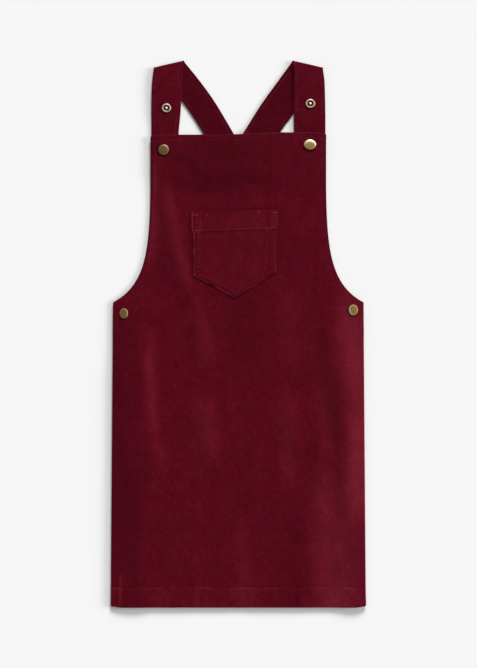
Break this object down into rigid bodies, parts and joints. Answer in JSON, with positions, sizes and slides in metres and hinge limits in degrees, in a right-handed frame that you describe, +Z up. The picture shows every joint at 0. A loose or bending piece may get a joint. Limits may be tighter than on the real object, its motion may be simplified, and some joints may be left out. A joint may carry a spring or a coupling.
{
  "type": "girl's pinafore dress laid flat",
  "caption": "Sleeveless needlecord pinafore dress laid flat: square bib with a pointed chest pocket, folded crossing straps, brass snaps and a straight skirt.",
  "frame": {"origin": "middle of the dress's outline on the surface that it lies on", "axes": "+X to the right across the dress as seen from above, +Y from the hem towards the bib and straps, +Z up from the surface"},
  "size_m": [0.332, 0.712, 0.0105],
  "materials": {
    "needlecord": "fine ribbed cotton cord with a soft nap",
    "aged_brass": "antique, dull and slightly rubbed bright at the rims"
  },
  "bodies": {
    "root": {"front_panel": "needlecord", "back_panel": "needlecord", "chest_pocket": "needlecord", "strap_left": "needlecord", "strap_right": "needlecord", "bib_snap_left": "aged_brass", "bib_snap_right": "aged_brass", "strap_snap_left": "aged_brass", "strap_snap_right": "aged_brass", "side_snap_left": "aged_brass", "side_snap_right": "aged_brass"}
  },
  "joints": []
}
